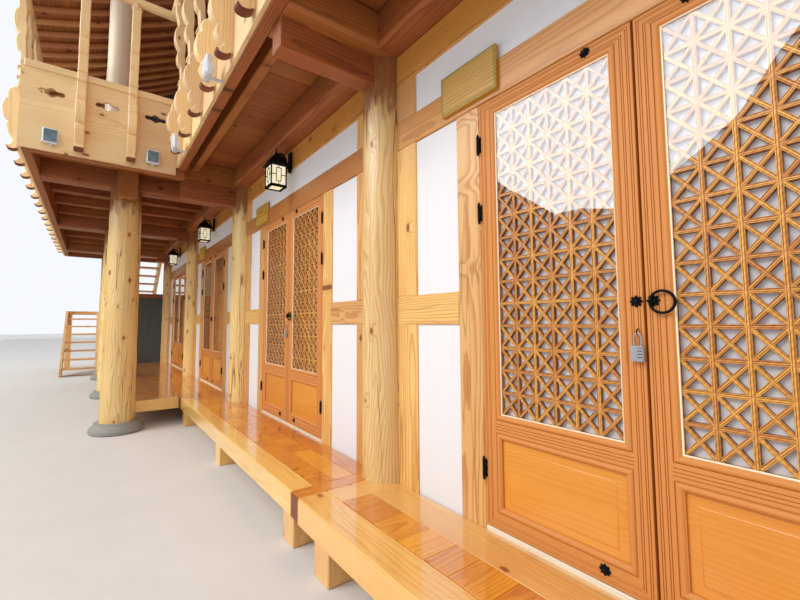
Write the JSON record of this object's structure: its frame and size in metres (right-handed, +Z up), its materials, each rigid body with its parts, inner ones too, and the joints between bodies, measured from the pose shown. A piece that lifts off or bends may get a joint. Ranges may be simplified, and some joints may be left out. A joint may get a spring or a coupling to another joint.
{
  "type": "two-storey hanok house",
  "caption": "Timber hanok house with a raised deck, hinged lattice double doors, a carved balcony over it and curved tiled roofs.",
  "frame": {"origin": "ground level under the middle front column, on the face of the front wall", "axes": "+Z up, +X along the front towards the near end of the wing, -Y out of the front towards the deck"},
  "size_m": [17.2616, 7.376, 8.0415],
  "materials": {
    "pine": "clear-varnished pine",
    "door_pine": "satin-varnished door timber",
    "dark_pine": "stained pine",
    "deck_varnish": "gloss-varnished deck boards",
    "plaster": "white lime plaster",
    "stone": "dressed granite",
    "roof_tile": "grey fired clay tile",
    "paper": "white door paper behind glass",
    "iron": "black iron",
    "slate": "grey-green painted board",
    "plaque": "painted board"
  },
  "bodies": {
    "house": {"stone_plinth": "stone", "ground_floor": "pine", "front_column_1": "pine", "front_column_2": "pine", "front_column_3": "pine", "front_column_4": "pine", "front_column_5": "pine", "front_pier_1": "plaster", "front_pier_2": "plaster", "front_pier_3": "plaster", "front_pier_4": "plaster", "front_pier_5": "plaster", "over_door_wall": "plaster", "deck_bay_1": "deck_varnish", "deck_bay_2": "deck_varnish", "deck_pavilion": "deck_varnish", "deck_end_screen": "slate", "ground_rear_and_end_walls": "plaster", "ground_rear_windows": "paper", "upper_rear_and_end_walls": "plaster", "upper_rear_windows": "paper", "pavilion_floor_frame": "dark_pine", "wing_floor_frame": "dark_pine", "upper_floor": "dark_pine", "pavilion_column_1": "pine", "pavilion_stone_1": "stone", "pavilion_column_2": "pine", "pavilion_stone_2": "stone", "pavilion_column_3": "pine", "pavilion_stone_3": "stone", "balustrade_front": "pine", "balustrade_return": "pine", "balustrade_pavilion": "pine", "balustrade_west": "pine", "balustrade_east": "pine", "upper_front_columns": "pine", "pavilion_upper_columns": "pine", "upper_front_wall": "plaster", "upper_front_screens": "paper", "block_roof": "roof_tile", "wing_roof": "roof_tile", "stair_upper_flight": "pine", "stair_lower_flight": "pine", "stair_landing": "pine", "lantern_bay_2": "iron", "lantern_bay_3": "iron", "lantern_bay_4": "iron", "plaque_bay_1": "plaque", "plaque_bay_2": "plaque", "plaque_bay_3": "plaque"},
    "leaf_1_left": {"door_1_left": "door_pine"},
    "leaf_1_right": {"door_1_right": "door_pine"},
    "leaf_2_left": {"door_2_left": "door_pine"},
    "leaf_2_right": {"door_2_right": "door_pine"},
    "leaf_3_left": {"door_3_left": "door_pine"},
    "leaf_3_right": {"door_3_right": "door_pine"},
    "leaf_4_left": {"door_4_left": "door_pine"},
    "leaf_4_right": {"door_4_right": "door_pine"}
  },
  "joints": [
    {"name": "door_1_left_hinge", "type": "hinge", "parent": "house", "child": "leaf_1_left", "pos_m": [3.89, -0.0095, 1.3355], "axis": [0, 0, -1], "range_deg": [0, 110]},
    {"name": "door_1_right_hinge", "type": "hinge", "parent": "house", "child": "leaf_1_right", "pos_m": [5.29, -0.0095, 1.3355], "axis": [0, 0, 1], "range_deg": [0, 110]},
    {"name": "door_2_left_hinge", "type": "hinge", "parent": "house", "child": "leaf_2_left", "pos_m": [0.83, -0.0095, 1.3355], "axis": [0, 0, -1], "range_deg": [0, 110]},
    {"name": "door_2_right_hinge", "type": "hinge", "parent": "house", "child": "leaf_2_right", "pos_m": [2.23, -0.0095, 1.3355], "axis": [0, 0, 1], "range_deg": [0, 110]},
    {"name": "door_3_left_hinge", "type": "hinge", "parent": "house", "child": "leaf_3_left", "pos_m": [-2.23, -0.0095, 1.3355], "axis": [0, 0, -1], "range_deg": [0, 110]},
    {"name": "door_3_right_hinge", "type": "hinge", "parent": "house", "child": "leaf_3_right", "pos_m": [-0.83, -0.0095, 1.3355], "axis": [0, 0, 1], "range_deg": [0, 110]},
    {"name": "door_4_left_hinge", "type": "hinge", "parent": "house", "child": "leaf_4_left", "pos_m": [-5.29, -0.0095, 1.3355], "axis": [0, 0, -1], "range_deg": [0, 110]},
    {"name": "door_4_right_hinge", "type": "hinge", "parent": "house", "child": "leaf_4_right", "pos_m": [-3.89, -0.0095, 1.3355], "axis": [0, 0, 1], "range_deg": [0, 110]}
  ]
}
